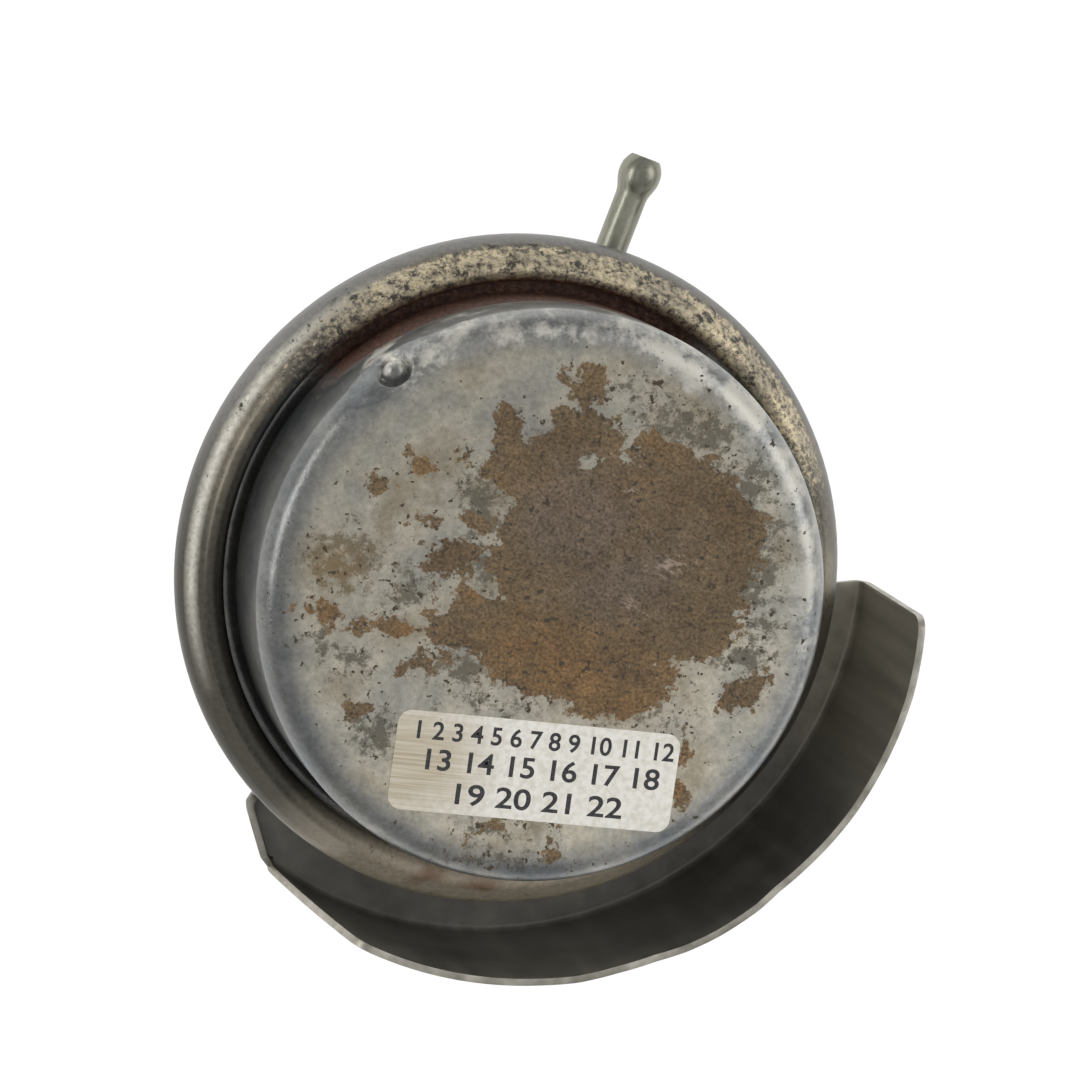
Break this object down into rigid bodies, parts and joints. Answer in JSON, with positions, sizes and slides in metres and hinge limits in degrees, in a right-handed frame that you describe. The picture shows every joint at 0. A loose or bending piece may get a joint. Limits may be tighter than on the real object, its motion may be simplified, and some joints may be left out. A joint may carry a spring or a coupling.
{
  "type": "turbo actuator",
  "caption": "Crimped diaphragm can with a side hose nipple, a bent heat shield, two mounting studs and a spring-returned push rod with an eye end.",
  "frame": {"origin": "centre of the two mounting studs, on the plane of the collar faces that a bracket bolts against", "axes": "+Z along the rod axis towards the closed end cap; the rod leaves along -Z; the studs lie on X"},
  "size_m": [0.0829, 0.0906, 0.1241],
  "materials": {
    "cap_steel": "zinc-plated drawn steel, worn and rusted",
    "can_steel": "drawn steel with a brown heat patina",
    "diaphragm_rubber": "fabric-reinforced rubber",
    "plated_steel": "zinc plated",
    "rod_steel": "ground",
    "spring_steel": "oil-tempered wire",
    "turned_steel": "turned",
    "sintered_bronze": "sintered, oil filled",
    "stop_polymer": "moulded",
    "seal_rubber": "moulded",
    "stud_steel": "zinc plated",
    "nipple_steel": "bright drawn tube",
    "shield_steel": "heat-darkened stainless sheet",
    "forged_steel": "forged, blackened"
  },
  "bodies": {
    "housing": {"end_cap": "cap_steel", "rod_side_can": "can_steel", "diaphragm": "diaphragm_rubber", "return_spring": "spring_steel", "spring_seat": "plated_steel", "guide_housing": "turned_steel", "guide_bush": "sintered_bronze", "travel_stop": "stop_polymer", "rod_seal": "seal_rubber", "seal_retainer": "plated_steel", "mounting_studs": "stud_steel", "stud_collars": "turned_steel", "hose_nipple": "nipple_steel", "heat_shield": "shield_steel"},
    "rod": {"push_rod": "rod_steel", "piston_cup": "plated_steel", "diaphragm_plate": "plated_steel", "swage_washer": "plated_steel", "lock_nut": "stud_steel", "rod_end": "forged_steel", "eye_bush": "sintered_bronze"}
  },
  "joints": [
    {"name": "rod_stroke", "type": "slide", "parent": "housing", "child": "rod", "axis": [0, 0, -1], "range_m": [0, 0.01], "stiffness_N_per_m": 5500, "springref_m": -0.015, "deforming": ["return_spring", "diaphragm"]}
  ]
}
